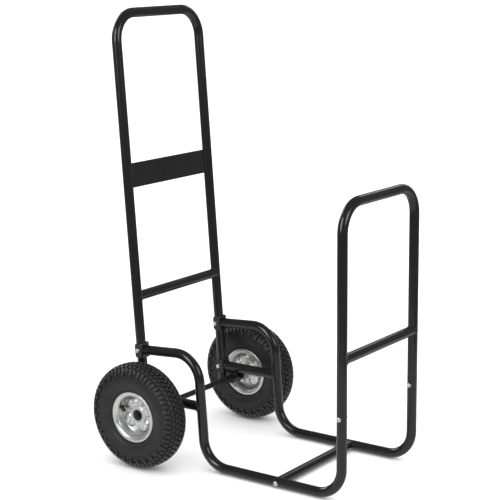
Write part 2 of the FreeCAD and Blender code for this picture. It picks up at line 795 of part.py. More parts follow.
def make_tyre(side, sign):
    seat = D["rim_width"] / 2 - D["rim_sheet"]
    bead = D["bead_radius"]
    toe = seat - D["bead_width"]
    outer = [(toe, bead), (seat, bead, D["flange_roll"] - D["rim_sheet"] + 0.2)] + tyre_outline()
    inner = [(toe, bead + D["tyre_wall"] + 1)] + tyre_outline(D["tyre_wall"])[1:]
    body = new_body(f"tyre_{side}")
    outline = outer + [(-p[0], *p[1:]) for p in reversed(outer)]
    outline += [(-p[0], *p[1:]) for p in inner] + list(reversed(inner))
    node(with_wheel(revolve(body, outline), sign))


def make_inner_tube(side, sign):
    """A thin ring of rubber that fills the tyre, seated on the rim."""
    body = new_body(f"inner_tube_{side}")
    gap = D["tube_gap"]
    sheet = D["tube_sheet"]
    base = D["bead_radius"] + gap
    heel = D["rim_width"] / 2 - D["rim_sheet"] - D["bead_width"] * 2
    outer = [(heel, base)] + tyre_outline(D["tyre_wall"] + gap)[1:]
    inner = [(heel - sheet, base + sheet)] + tyre_outline(D["tyre_wall"] + gap + sheet)[1:]
    revolve(body, mirrored(outer), mirrored(inner))
    body.Label = f"inner_tube_{side}_moulding"
    node(with_wheel(cut(f"inner_tube_{side}", body, valve_hole(f"tube_{side}")), sign))


def make_rim(side, sign):
    """Two stamped halves, back to back on the wheel's middle plane."""
    flange = D["rim_width"] / 2
    sheet = D["rim_sheet"]
    lip = D["flange_radius"]
    seat = D["bead_radius"]
    hub = D["hub_od"] / 2
    rolled = D["flange_roll"]
    crease = D["rim_crease"]
    dish = [(0, seat), (flange - sheet, seat, rolled - sheet), (flange - sheet, lip),
            (flange, lip), (flange, seat - sheet, rolled), (sheet, seat - sheet)]
    face = D["web_rise"]
    edge = D["web_radius"]
    raised = [(sheet, seat - sheet - crease / 2), (face, edge), (face, hub), (face - sheet, hub),
              (face - sheet, edge - sheet / 2), (0, seat - crease)]
    profile = dish + raised
    halves = {"outer": profile, "inner": [(-p[0], *p[1:]) for p in profile]}
    for name, outline in halves.items():
        body = new_body(f"rim_{name}_{side}")
        revolve(body, outline)
        circle = [(D["lug_circle"] * math.cos(a), D["lug_circle"] * math.sin(a)) for a in lug_angles()]
        drill(body, "YZ_Plane", circle, D["bolt_hole"] / 2)
        if name == "inner":
            node(with_wheel(body, sign))
            continue
        body.Label = f"rim_outer_{side}_pressing"
        node(with_wheel(cut(f"rim_outer_{side}", body, valve_hole(f"rim_{side}")), sign))


def lug_angles():
    """Where the rim bolts stand, the first a little off the valve's side."""
    return [math.radians(D["lug_turn"].value + 360 * k / LUGS) for k in range(LUGS)]


def valve_hole(name):
    """A rod along the valve's axis, from inside the tyre to inside the rim."""
    length = D["valve_tip"]
    return place_on_valve(cylinder(f"{name}_valve_hole", D["valve_hole"], length), -length / 3)


def place_on_valve(thing, along):
    """Lay a piece drawn along Z on the valve's slanted axis, along from the rim's barrel."""
    turn = FreeCAD.Rotation(FreeCAD.Vector(1, 0, 0), D["valve_turn"].value - 90)
    tilt = FreeCAD.Rotation(FreeCAD.Vector(0, 1, 0), 180 - D["valve_tilt"].value)
    root = FreeCAD.Vector(D["valve_offset"].value, 0, D["bead_radius"].value - D["rim_sheet"].value / 2)
    lift = tilt.multVec(FreeCAD.Vector(0, 0, along.value))
    thing.Placement = FreeCAD.Placement(turn.multVec(root + lift), turn.multiply(tilt))
    return thing


def make_hub(side, sign):
    """The steel hub, bored at each end for a bearing."""
    body = new_body(f"hub_{side}")
    near, far = D["hub_end"], D["hub_end"] - D["hub_length"]
    deep = D["bearing_width"] + D["bearing_inset"]
    cup = D["bearing_od"] / 2
    bore = D["hub_bore"] / 2
    skin = D["hub_od"] / 2
    revolve(body, [(near, cup), (near, skin), (far, skin), (far, cup), (far + deep, cup),
                   (far + deep, bore), (near - deep, bore), (near - deep, cup)])
    node(with_wheel(body, sign))


def make_bearings(side, sign):
    """Outer rings with their shields, which turn with the wheel, and the balls, which trail it."""
    rings = []
    balls = []
    width = D["bearing_width"] / 2
    outer = D["bearing_od"] / 2
    track = D["outer_ring_bore"] / 2
    lip = D["shield_bore"] / 2
    inside = width - D["shield_sheet"]
    for name, centre in zip(("outer", "inner"), bearing_centres()):
        ring = new_body(f"outer_ring_{side}_{name}")
        revolve(ring, [(-width, outer), (width, outer), (width, lip), (inside, lip), (inside, track),
                       (-inside, track), (-inside, lip), (-width, lip)])
        groove(ring, 0, D["ball_circle"] / 2, D["ball_diameter"] / 2 + D["ball_gap"])
        rings.append(place(ring, x=centre))
        for k in range(BALLS):
            ball = doc.addObject("Part::Sphere", f"ball_{side}_{name}_{k}")
            bind(ball, "Radius", D["ball_diameter"] / 2)
            angle = 2 * math.pi * k / BALLS
            y = D["ball_circle"] / 2 * math.cos(angle)
            z = D["ball_circle"] / 2 * math.sin(angle)
            balls.append(place(ball, x=centre, y=y, z=z))
    node(with_wheel(group(f"bearing_outer_rings_{side}", rings), sign))
    node(with_wheel(group(f"bearing_balls_{side}", balls), sign))


def make_lugs(side, sign):
    """The bolts and nuts that clamp the rim halves together."""
    bolts = []
    nuts = []
    face = D["web_rise"]
    for k, angle in enumerate(lug_angles()):
        y = D["lug_circle"] * math.cos(angle)
        z = D["lug_circle"] * math.sin(angle)
        bolt = socket_bolt(f"lug_{side}_{k}", face * 2 + D["nut_height"])
        bolts.append(place(bolt, x=face, y=y, z=z, **HALF_TURN))
        nuts.append(hex_block(f"lug_nut_{side}_{k}", D["nut_flats"], D["nut_height"] - 1,
                              D["bolt_thread"] / 2, x=-face, y=y, z=z, axis=(0, 1, 0), angle=-90))
    node(with_wheel(group(f"rim_bolts_{side}", bolts), sign))
    node(with_wheel(group(f"rim_nuts_{side}", nuts), sign))


def make_valve(side, sign):
    """The rubber valve stem, slanting out of the rim's barrel, and its cap."""
    root_end = D["valve_collar"]
    neck_start = root_end - 0.5
    root = cylinder(f"stem_{side}_root", D["valve_root"], D["valve_start"] + root_end)
    neck = cylinder(f"stem_{side}_neck", D["valve_neck"], D["valve_foot"] - neck_start)
    cap = cylinder(f"cap_{side}", D["valve_cap"], D["valve_tip"] - D["valve_foot"])
    stem = doc.addObject("Part::Fuse", f"stem_{side}")
    stem.Base = place_on_valve(root, -D["valve_start"])
    stem.Tool = place_on_valve(neck, neck_start)
    node(with_wheel(group(f"valve_stem_{side}", [stem]), sign))
    node(with_wheel(group(f"valve_cap_{side}", [place_on_valve(cap, D["valve_foot"])]), sign))


# ---- the whole cart ------------------------------------------------------------------------------

def check():
    """Stop on any failed object, and on any sub-part with no valid shape."""
    failed = [item.Name for item in doc.Objects if {"Invalid", "Error"} & set(item.State)]
    failed += [label for label, item in nodes.items() if item.Shape.isNull() or not item.Shape.isValid()]
    if failed:
        raise RuntimeError(f"failed: {', '.join(failed)}")


def write_parts():
    os.makedirs("parts", exist_ok=True)
    for label, item in nodes.items():
        item.Shape.exportStep(f"parts/{label}.step")


make_handle()
for side, sign in SIDES.items():
    make_side_frame(side, sign)
    make_saddle(f"upper_saddle_{side}", sign, D["upper_saddle"])
    make_saddle(f"lower_saddle_{side}", sign, D["lower_saddle"])
    make_strut(side, sign)
    make_hanger(side, sign)
make_axle()
make_split_pins()
make_floor_tube()
make_rack()
saddle_spots = [(sign, *on_handle(D[place_name])) for place_name in ("upper_saddle", "lower_saddle")
                for sign in SIDES.values()]
bolts_across("saddle", saddle_spots, saddle_face * 2, saddle_face)
rack_spots = [(sign, D["rack_y"], D["rack_bolt_up"]) for sign in SIDES.values()]
bolts_across("rack", rack_spots, D["tube_od"], tube_r)
make_axle_fittings()
for side, sign in SIDES.items():
    make_tyre(side, sign)
    make_inner_tube(side, sign)
    make_rim(side, sign)
    make_hub(side, sign)
    make_bearings(side, sign)
    make_lugs(side, sign)
    make_valve(side, sign)

doc.recompute()
check()
write_parts()
for label, item in nodes.items():
    print(f"{label}: {len(item.Shape.Solids)} solids, {item.Shape.Volume / 1000:.1f} cm3")
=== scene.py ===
import json
import math

import bmesh
import bpy
import numpy as np
from mathutils import Matrix, Vector


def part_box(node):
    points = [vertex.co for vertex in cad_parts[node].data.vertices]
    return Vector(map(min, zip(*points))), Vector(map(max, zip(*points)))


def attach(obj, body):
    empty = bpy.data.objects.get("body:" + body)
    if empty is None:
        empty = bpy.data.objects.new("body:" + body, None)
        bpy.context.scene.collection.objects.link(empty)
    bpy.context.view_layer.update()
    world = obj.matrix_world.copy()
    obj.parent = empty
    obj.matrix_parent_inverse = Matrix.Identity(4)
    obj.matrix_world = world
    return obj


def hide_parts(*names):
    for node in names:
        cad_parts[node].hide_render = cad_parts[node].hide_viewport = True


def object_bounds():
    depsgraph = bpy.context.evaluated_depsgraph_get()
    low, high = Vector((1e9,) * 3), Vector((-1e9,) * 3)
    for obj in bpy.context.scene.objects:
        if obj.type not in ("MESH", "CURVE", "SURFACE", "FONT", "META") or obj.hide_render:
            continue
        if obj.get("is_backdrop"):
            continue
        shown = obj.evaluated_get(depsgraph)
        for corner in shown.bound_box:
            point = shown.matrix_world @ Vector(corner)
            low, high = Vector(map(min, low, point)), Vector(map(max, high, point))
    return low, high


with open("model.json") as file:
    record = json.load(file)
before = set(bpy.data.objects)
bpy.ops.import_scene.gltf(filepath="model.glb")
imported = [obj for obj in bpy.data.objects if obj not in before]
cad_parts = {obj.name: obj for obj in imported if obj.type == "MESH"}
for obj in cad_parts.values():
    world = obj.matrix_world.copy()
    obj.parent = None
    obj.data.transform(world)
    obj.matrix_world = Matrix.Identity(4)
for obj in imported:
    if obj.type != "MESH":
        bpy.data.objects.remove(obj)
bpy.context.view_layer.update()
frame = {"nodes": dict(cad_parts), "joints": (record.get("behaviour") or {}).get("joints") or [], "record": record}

# The log cart's looks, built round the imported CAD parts. Sizes are in millimetres up to the point
# where a mesh is made. A wheel is drawn in its own frame: x runs outboard along the axle.

MM = 0.001
TURN = 2 * math.pi
SIDES = {"left": -1, "right": 1}
record = frame["record"]
mounts = {m["name"]: m for m in record["mounts"]}
joints = {j["name"]: j for j in frame["joints"]}


# ---- helpers -------------------------------------------------------------------------------------

def box_mm(node):
    low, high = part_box(node)
    return Vector(low) / MM, Vector(high) / MM


def middle(node):
    low, high = box_mm(node)
    return (low + high) / 2


def add_mesh(name, points, faces, material, smooth=True):
    """A mesh object from points in millimetres, with one material."""
    mesh = bpy.data.meshes.new(name)
    mesh.from_pydata((np.asarray(points, float) * MM).tolist(), [], faces)
    mesh.validate()
    mesh.polygons.foreach_set("use_smooth", [smooth] * len(mesh.polygons))
    mesh.materials.append(material)
    made = bpy.data.objects.new(name, mesh)
    bpy.context.scene.collection.objects.link(made)
    return made


def soften(thing, degrees):
    """Keep smooth shading, except across edges sharper than this angle."""
    thing.data.set_sharp_from_angle(angle=math.radians(degrees))


def recalculate(thing):
    """Turn every face outward."""
    shell = bmesh.new()
    shell.from_mesh(thing.data)
    bmesh.ops.recalc_face_normals(shell, faces=shell.faces)
    shell.to_mesh(thing.data)
    shell.free()


def finish_piece(thing, body, slot, *stands_for):
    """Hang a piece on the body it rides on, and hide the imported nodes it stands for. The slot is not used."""
    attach(thing, body)
    if stands_for:
        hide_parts(*stands_for)
    return thing


def grid_faces(rows, columns, start=0, wrap_rows=False, wrap_columns=False):
    """Quads over a grid of points that was written row by row."""
    faces = []
    for i in range(rows if wrap_rows else rows - 1):
        for j in range(columns if wrap_columns else columns - 1):
            a = start + i * columns + j
            b = start + i * columns + (j + 1) % columns
            c = start + (i + 1) % rows * columns + (j + 1) % columns
            d = start + (i + 1) % rows * columns + j
            faces.append((a, b, c, d))
    return faces


def smooth_step(low, high, value):
    share = np.clip((value - low) / (high - low), 0, 1)
    return share * share * (3 - 2 * share)


def turned(points, count):
    """The (along, radius) points of a closed outline, turned round the X axis."""
    along, radius = np.array(points, float).T
    angle = np.arange(count) * TURN / count
    shape = np.stack([np.repeat(along[:, None], count, 1),
                      radius[:, None] * np.cos(angle), radius[:, None] * np.sin(angle)], 2)
    return shape.reshape(-1, 3), grid_faces(len(along), count, wrap_rows=True, wrap_columns=True)


def lathe(name, points, material, count=96):
    """A turned part whose outline starts and ends on the axis, along local +X."""
    along, radius = np.array(points, float).T
    angle = np.arange(count) * TURN / count
    inner = slice(1, -1)
    shape = np.stack([np.repeat(along[inner, None], count, 1),
                      radius[inner, None] * np.cos(angle), radius[inner, None] * np.sin(angle)], 2)
    rows = len(along) - 2
    faces = grid_faces(rows, count, wrap_columns=True)
    first, last = rows * count, rows * count + 1
    for j in range(count):
        after = (j + 1) % count
        faces.append((first, after, j))
        faces.append((last, (rows - 1) * count + j, (rows - 1) * count + after))
    ends = [(along[0], 0, 0), (along[-1], 0, 0)]
    return add_mesh(name, np.vstack([shape.reshape(-1, 3), ends]), faces, material)


def aim(thing, where, direction):
    """Put a part that is drawn along +X at a place, in millimetres, pointing along a direction."""
    turn = Vector((1, 0, 0)).rotation_difference(Vector(direction).normalized())
    thing.matrix_world = Matrix.Translation(Vector(where) * MM) @ turn.to_matrix().to_4x4()
    return thing


# ---- materials -----------------------------------------------------------------------------------

EDGE_START, EDGE_END = 0.52, 0.6         # pointiness where an edge begins to show, and is full
# painted shade: the share of open sky where the painted shade in hollows begins, and is full
PAINTED_SHADE_START, PAINTED_SHADE_END = 0.95, 0.25    # share of open sky where a hollow begins, and is full


class Shader:
    """A Principled material whose nodes are wired by short calls."""

    def __init__(self, name, color, roughness, metallic=0.0, **values):
        self.material = bpy.data.materials.new(name)
        self.material.use_nodes = True
        self.tree = self.material.node_tree
        self.main = self.tree.nodes["Principled BSDF"]
        self.set("Base Color", (*color, 1))
        self.set("Roughness", roughness)
        self.set("Metallic", metallic)
        for key, value in values.items():
            self.set(key.replace("_", " "), value)
        self.place = self.node("TexCoord").outputs["Object"]

    def node(self, kind, **props):
        made = self.tree.nodes.new("ShaderNode" + kind)
        for key, value in props.items():
            setattr(made, key, value)
        return made

    def link(self, source, target):
        self.tree.links.new(source, target)

    def set(self, socket, value):
        self.main.inputs[socket].default_value = value

    def noise(self, scale, detail=3.0, stretch=None):
        """Noise over the object's own coordinates, scale per metre."""
        made = self.node("TexNoise")
        made.inputs["Scale"].default_value = scale
        made.inputs["Detail"].default_value = detail
        where = self.place
        if stretch:
            squeeze = self.node("Mapping")
            squeeze.inputs["Scale"].default_value = stretch
            self.link(where, squeeze.inputs["Vector"])
            where = squeeze.outputs["Vector"]
        self.link(where, made.inputs["Vector"])
        return made.outputs["Fac"]

    def cells(self, scale):
        """A random colour in each cell, scale cells per metre."""
        made = self.node("TexVoronoi", feature="F1")
        made.inputs["Scale"].default_value = scale
        self.link(self.place, made.inputs["Vector"])
        return made.outputs["Color"]

    def ramp(self, source, *stops):
        """Colours at places along a source that runs from 0 to 1."""
        made = self.node("ValToRGB")
        elements = made.color_ramp.elements
        while len(elements) < len(stops):
            elements.new(0.5)
        for element, (where, color) in zip(elements, stops):
            element.position = where
            element.color = (*color, 1) if isinstance(color, tuple) else (color, color, color, 1)
        self.link(source, made.inputs["Fac"])
        return made.outputs["Color"]

    def mix(self, factor, first, second):
        """The second colour over the first, by a factor from 0 to 1."""
        made = self.node("Mix", data_type="RGBA")
        for number, value in ((0, factor), (6, first), (7, second)):
            if hasattr(value, "links"):
                self.link(value, made.inputs[number])
            elif isinstance(value, tuple):
                made.inputs[number].default_value = (*value, 1)
            else:
                made.inputs[number].default_value = value
        return made.outputs[2]

    def use(self, source, socket):
        self.link(source, self.main.inputs[socket])

    def bump(self, source, depth_mm):
        """Raise the surface by a source, on top of any bump that is already there."""
        made = self.node("Bump")
        made.inputs["Strength"].default_value = 1.0
        made.inputs["Distance"].default_value = depth_mm * MM
        self.link(source, made.inputs["Height"])
        normal = self.main.inputs["Normal"]
        if normal.links:
            self.link(normal.links[0].from_socket, made.inputs["Normal"])
        self.link(made.outputs["Normal"], normal)

    def edge(self):
        """1 on the mesh's convex edges and corners, 0 on flat and gently curved surface."""
        turn = self.node("MapRange")
        turn.inputs["From Min"].default_value = EDGE_START
        turn.inputs["From Max"].default_value = EDGE_END
        self.link(self.node("NewGeometry").outputs["Pointiness"], turn.inputs["Value"])
        return turn.outputs["Result"]

    def painted_shade_mask(self, reach_mm):
        """0 on open surface, rising towards 1 deep in a hollow; it masks painted shade."""
        near = self.node("AmbientOcclusion", samples=8, only_local=True)
        near.inputs["Distance"].default_value = reach_mm * MM
        turn = self.node("MapRange")
        turn.inputs["From Min"].default_value = PAINTED_SHADE_START
        turn.inputs["From Max"].default_value = PAINTED_SHADE_END
        self.link(near.outputs["AO"], turn.inputs["Value"])
        return turn.outputs["Result"]


def make_powder_coat(name, color, dull):
    """Baked powder coat: semi-gloss black with a fine orange peel."""
    coat = Shader(name, color, dull, IOR=1.5)
    cloud = coat.noise(14, 2)
    coat.use(coat.ramp(cloud, (0.3, color), (0.75, tuple(c * 1.25 + 0.0005 for c in color))), "Base Color")
    coat.use(coat.ramp(coat.noise(38, 4), (0.3, dull - 0.03), (0.72, dull + 0.05)), "Roughness")
    coat.bump(coat.noise(260, 2), 0.012)
    coat.bump(coat.noise(900, 1), 0.0015)
    return coat.material


def make_steel(name, color, roughness):
    """Black-oxide steel with a thin film of paint, slightly uneven."""
    steel = Shader(name, color, roughness, 0.55)
    film = steel.ramp(steel.noise(160, 4), (0.35, color), (0.7, tuple(c * 1.8 for c in color)))
    steel.use(film, "Base Color")
    steel.use(steel.ramp(steel.noise(300, 3), (0.3, roughness - 0.06), (0.7, roughness + 0.1)), "Roughness")
    steel.bump(steel.noise(1400, 3), 0.012)
    return steel.material


def make_zinc(name, color, roughness, grain, shade_reach_mm=None):
    """Bright zinc plate: pale with a faint green and straw cast, fine spangle and rolling marks.

    A pressing gets painted shade: its colour is darker in its hollows, where ambient occlusion finds them."""
    zinc = Shader(name, color, roughness, 1.0)
    cast = zinc.ramp(zinc.noise(22, 3), (0.32, tuple(c * t for c, t in zip(color, (0.88, 0.92, 0.89)))),
                     (0.55, color), (0.8, tuple(c * t for c, t in zip(color, (1.02, 1.0, 0.92)))))
    fine = zinc.ramp(zinc.cells(grain), (0.0, 0.93), (1.0, 1.0))
    blend = zinc.node("Mix", data_type="RGBA", blend_type="MULTIPLY")
    blend.inputs[0].default_value = 0.6
    zinc.link(cast, blend.inputs[6])
    zinc.link(fine, blend.inputs[7])
    # edges paler from wear
    wear_and_painted_shade = zinc.mix(zinc.edge(), blend.outputs[2], (0.88, 0.88, 0.86))
    # painted shade: the colour darkens to 0.22 of itself in hollows that ambient occlusion finds
    if shade_reach_mm:
        wear_and_painted_shade = zinc.mix(zinc.painted_shade_mask(shade_reach_mm), wear_and_painted_shade, tuple(c * 0.22 for c in color))
    zinc.use(wear_and_painted_shade, "Base Color")
    zinc.use(zinc.ramp(zinc.noise(70, 5), (0.3, roughness - 0.06), (0.72, roughness + 0.1)), "Roughness")
    zinc.bump(zinc.noise(110, 2), 0.012)
    zinc.bump(zinc.noise(900, 2, (1, 1, 0.2)), 0.0012)
    return zinc.material


def make_rubber(name, color, roughness, dust):
    """Moulded rubber: fine pitted skin, chalky bloom in patches, edges rubbed a little greyer."""
    rubber = Shader(name, color, roughness, Specular_IOR_Level=0.42)
    bloom = rubber.ramp(rubber.noise(30, 6), (0.38, color), (0.72, tuple(c + dust for c in color)))
    scuffed = rubber.mix(rubber.edge(), bloom, tuple(c * 1.5 + dust for c in color))
    rubber.use(scuffed, "Base Color")
    rubber.use(rubber.ramp(rubber.noise(90, 4), (0.3, roughness - 0.1), (0.7, roughness + 0.1)), "Roughness")
    rubber.bump(rubber.noise(500, 3), 0.03)
    rubber.bump(rubber.cells(1300), 0.006)
    return rubber.material


def make_plastic(name, color, roughness):
    """Moulded plastic with a fine spark texture."""
    plastic = Shader(name, color, roughness)
    tint = plastic.ramp(plastic.noise(120, 3), (0.35, color), (0.75, tuple(c * 1.5 for c in color)))
    plastic.use(tint, "Base Color")
    shine = plastic.ramp(plastic.noise(400, 3), (0.3, roughness - 0.05), (0.7, roughness + 0.08))
    plastic.use(shine, "Roughness")
    plastic.bump(plastic.noise(2400, 2), 0.012)
    return plastic.material


def make_ground_steel(name):
    """Ground bearing steel, with fine lines round the axle."""
    steel = Shader(name, (0.56, 0.57, 0.58), 0.22, 1.0)
    tint = steel.ramp(steel.noise(500, 3), (0.3, (0.5, 0.51, 0.52)), (0.7, (0.62, 0.63, 0.64)))
    steel.use(tint, "Base Color")
    steel.use(steel.ramp(steel.noise(900, 3), (0.3, 0.17), (0.7, 0.3)), "Roughness")
    steel.bump(steel.noise(2600, 2, (3, 1, 1)), 0.004)
    return steel.material


MATERIALS = {
    "black_powder_coat": make_powder_coat("black_powder_coat", (0.0052, 0.0052, 0.0056), 0.17),
    "black_steel": make_steel("black_steel", (0.014, 0.014, 0.015), 0.38),
    # the pressing gets painted shade in hollows within 24 mm
    "zinc_pressing": make_zinc("zinc_pressing", (0.78, 0.79, 0.78), 0.33, 900, 24),
    "zinc_fastener": make_zinc("zinc_fastener", (0.80, 0.80, 0.79), 0.25, 1800),
    "bearing_steel": make_ground_steel("bearing_steel"),
    "tyre_rubber": make_rubber("tyre_rubber", (0.0085, 0.0085, 0.009), 0.42, 0.003),
    "soft_rubber": make_rubber("soft_rubber", (0.011, 0.011, 0.011), 0.58, 0.003),
    "cap_plastic": make_plastic("cap_plastic", (0.008, 0.008, 0.0085), 0.36),
}
for name, node in frame["nodes"].items():
    slot = node.data.materials[0].name.split(".")[0]
    node.data.materials[0] = MATERIALS[slot]


# ---- tyres ---------------------------------------------------------------------------------------

TYRE_CROWN = 131.8           # the carcass under the tread
TYRE_WIDEST = 98.0           # radius where the tyre is widest
TYRE_SIDE = 35.6             # half the carcass's width
FLANGE = 66.0                # radius of the rim's flange
BEAD_SIDE = 25.6             # half the tyre's width where it meets the flange
PITCHES = 60
BLOCK_HEIGHT = 4.5
BLOCK_SINK = 0.8
CHAMFER = 0.7
PITCH = TURN * TYRE_CROWN / PITCHES
BLOCK_GAP = 5.0              # between two blocks of one row
CENTRE_HALF = 4.6            # the rows, in mm across the tyre's skin from the crown
MIDDLE_ROW = (7.4, 15.6)
OUTER_ROW = (18.2, 25.4)
LUG_START, SHORT_LUG_END, LONG_LUG_END = 28.2, 39.0, 45.5
LUG_WIDER = 0.8
RIB_START, SHORT_RIB_END, LONG_RIB_END = 48.6, 54.0, 59.0
RIB_RISE, RIB_WIDTH = 1.1, 1.9
UPPER_POWER = 2.6
LOWER_POWER = 2.2


def tyre_section():
    """Points of one side of the carcass, from the crown down to the rim's flange."""
    down = np.linspace(0, 1, 44)
    angle = (1 - down) * math.pi / 2
    upper = np.stack([TYRE_SIDE * np.cos(angle) ** (2 / UPPER_POWER),
                      TYRE_WIDEST + (TYRE_CROWN - TYRE_WIDEST) * np.sin(angle) ** (2 / UPPER_POWER)], 1)
    foot = math.acos((BEAD_SIDE / TYRE_SIDE) ** (LOWER_POWER / 2))
    reach = (TYRE_WIDEST - FLANGE - 0.6) / math.sin(foot) ** (2 / LOWER_POWER)
    angle = np.linspace(0, foot, 50)[1:]
    lower = np.stack([TYRE_SIDE * np.cos(angle) ** (2 / LOWER_POWER),
                      TYRE_WIDEST - reach * np.sin(angle) ** (2 / LOWER_POWER)], 1)
    return np.vstack([upper, lower])


SECTION = tyre_section()
STEPS = np.hypot(*np.diff(SECTION, axis=0).T)
ALONG = np.concatenate([[0], np.cumsum(STEPS)])


def ring_lines(radius):
    """How far the sidewall's moulded rings stand out at a radius."""
    rings = ((71.0, 2.2, 2.0), (78.0, 1.0, 0.5), (88.5, 0.8, 0.45), (91.0, 0.8, 0.45),
             (99.6, 0.7, 0.5))
    return sum(rise * np.exp(-((radius - where) / width) ** 2) for where, width, rise in rings)


def on_tyre(across, angle, height):
    """Points over the tyre's skin: across it from the crown in mm, round it, and out from it."""
    side = np.where(across < 0, -1.0, 1.0)
    walk = np.abs(across)
    x, r = np.interp(walk, ALONG, SECTION[:, 0]), np.interp(walk, ALONG, SECTION[:, 1])
    ahead, behind = np.minimum(walk + 0.4, ALONG[-1]), np.maximum(walk - 0.4, 0)
    dx = np.interp(ahead, ALONG, SECTION[:, 0]) - np.interp(behind, ALONG, SECTION[:, 0])
    dr = np.interp(ahead, ALONG, SECTION[:, 1]) - np.interp(behind, ALONG, SECTION[:, 1])
    span = np.hypot(dx, dr)
    x, r = x - dr / span * height, r + dx / span * height
    return np.stack([side * x, r * np.cos(angle), r * np.sin(angle)], -1)


class Moulding:
    """Raised blocks over the tyre's skin, gathered into one mesh."""

    def __init__(self):
        self.points, self.faces, self.count = [], [], 0

    def block(self, across, round_from, round_to, rise, skew=0.0, cells=(3, 3), chamfer=CHAMFER):
        """A block from across[0] to across[1], in mm, between two places round the tyre, in mm."""
        def rungs(low, high, inner):
            flat = np.linspace(low + chamfer, high - chamfer, inner + 1)
            return (np.concatenate([[low - 0.35, low], flat, [high, high + 0.35]]),
                    np.concatenate([[-BLOCK_SINK, rise - chamfer], np.full(inner + 1, rise),
                                    [rise - chamfer, -BLOCK_SINK]]))
        u, u_height = rungs(*across, cells[0])
        v, v_height = rungs(round_from, round_to, cells[1])
        uu, vv = np.meshgrid(u, v, indexing="ij")
        height = np.minimum.outer(u_height, v_height)
        angle = (vv + skew * (uu - np.mean(across))) / TYRE_CROWN
        spot = on_tyre(uu, angle, height).reshape(-1, 3)
        rows, columns = len(u), len(v)
        quads = grid_faces(rows, columns, self.count)
        if np.mean(across) < 0:
            quads = [q[::-1] for q in quads]
        ring = ([(0, j) for j in range(columns)] + [(i, columns - 1) for i in range(1, rows)]
                + [(rows - 1, j) for j in range(columns - 2, -1, -1)]
                + [(i, 0) for i in range(rows - 2, 0, -1)])
        under = [self.count + i * columns + j for i, j in ring]
        quads.append(tuple(under if np.mean(across) < 0 else under[::-1]))
        self.points.append(spot)
        self.faces += quads
        self.count += rows * columns


def make_tread():
    """Seven rows of blocks round the tyre, and ribs under every second lug on the shoulder."""
    mould = Moulding()
    for k in range(PITCHES):
        start = k * PITCH
        stagger = start + PITCH / 2
        mould.block((-CENTRE_HALF, CENTRE_HALF), start, start + PITCH - BLOCK_GAP, BLOCK_HEIGHT, 0.25)
        for side in (-1, 1):
            def span(low, high):
                return (side * low, side * high) if side > 0 else (side * high, side * low)
            mould.block(span(*MIDDLE_ROW), stagger, stagger + PITCH - BLOCK_GAP, BLOCK_HEIGHT, 0.3 * side)
            mould.block(span(*OUTER_ROW), start, start + PITCH - BLOCK_GAP, BLOCK_HEIGHT, -0.25 * side)
            long_lug = k % 2 == 0
            end = LONG_LUG_END if long_lug else SHORT_LUG_END
            mould.block(span(LUG_START, end), stagger - LUG_WIDER / 2,
                        stagger + PITCH - BLOCK_GAP + LUG_WIDER, BLOCK_HEIGHT - 0.1, 0.08 * side, (6, 2))
            if long_lug:
                make_ribs(mould, span, stagger)
    return mould


def make_ribs(mould, span, start):
    """Short ribs on the shoulder, long and short by turns, below a long lug."""
    for number in range(4):
        end = SHORT_RIB_END if number % 2 else LONG_RIB_END
        first = start + PITCH * (0.12 + 0.5 * number)
        mould.block(span(RIB_START, end), first, first + RIB_WIDTH, RIB_RISE, 0.0, (5, 1), 0.45)


def make_tyre_mesh(name):
    """The carcass, a closed shell whose beads tuck behind the flanges, with its moulded tread."""
    outer = SECTION.copy()
    inward = np.array([-np.gradient(outer[:, 1]), np.gradient(outer[:, 0])]).T
    inward /= np.linalg.norm(inward, axis=1)[:, None]
    outer += inward * ring_lines(outer[:, 1])[:, None]
    tuck = np.array([(24.4, 63.6), (23.0, 58.0), (20.8, 55.2), (17.6, 54.6), (16.2, 57.5), (17.5, 63.0)])
    lining = SECTION[::-6] - (inward * 4.0)[::-6]
    lining = lining[(lining[:, 1] > 68) & (lining[:, 0] > 1.5)]
    half = np.vstack([outer, tuck, lining])
    ring = np.vstack([half, (half * (-1, 1))[-1:0:-1]])
    points, faces = turned(ring, 232)
    tread = make_tread()
    moved = [tuple(len(points) + i for i in face) for face in tread.faces]
    return add_mesh(name, np.vstack([points] + tread.points), faces + moved, MATERIALS["tyre_rubber"])


# ---- rims ----------------------------------------------------------------------------------------

RIM_SHEET = 2.0
HUB_RADIUS = 19.6
WEB_TOP = 5.6
WEB_LOW = 2.0
LUG_TURN = math.radians(123)             # where the first petal stands round the wheel
PETAL = (34.5, 12.5, 17.5)   # radius of its middle, half its length and half its width
RIM_COUNT = 240
DISH = ((24.4, 64.8), (25.3, 65.8), (26.4, 66.0), (27.2, 65.5), (27.5, 64.4), (27.45, 62.6), (27.1, 60.6),
        (26.4, 58.5), (25.2, 56.4), (23.4, 54.4), (21.0, 52.8), (18.0, 51.7), (14.5, 51.1), (10.5, 50.8),
        (7.6, 50.3), (5.2, 49.0), (3.4, 47.2), (2.4, 45.2))


def web_height(radius, angle):
    """The face of the pressed web: four raised petals round a raised boss."""
    nearest = (angle - LUG_TURN + TURN / 8) % (TURN / 4) - TURN / 8
    middle_radius, half_length, half_width = PETAL
    away = np.hypot((radius - middle_radius) / half_length, radius * nearest / half_width)
    petal = 1 - smooth_step(0.76, 1.2, away)
    boss = 1 - smooth_step(22.5, 26.5, radius)
    return WEB_LOW + (WEB_TOP - WEB_LOW) * np.maximum(petal, boss)


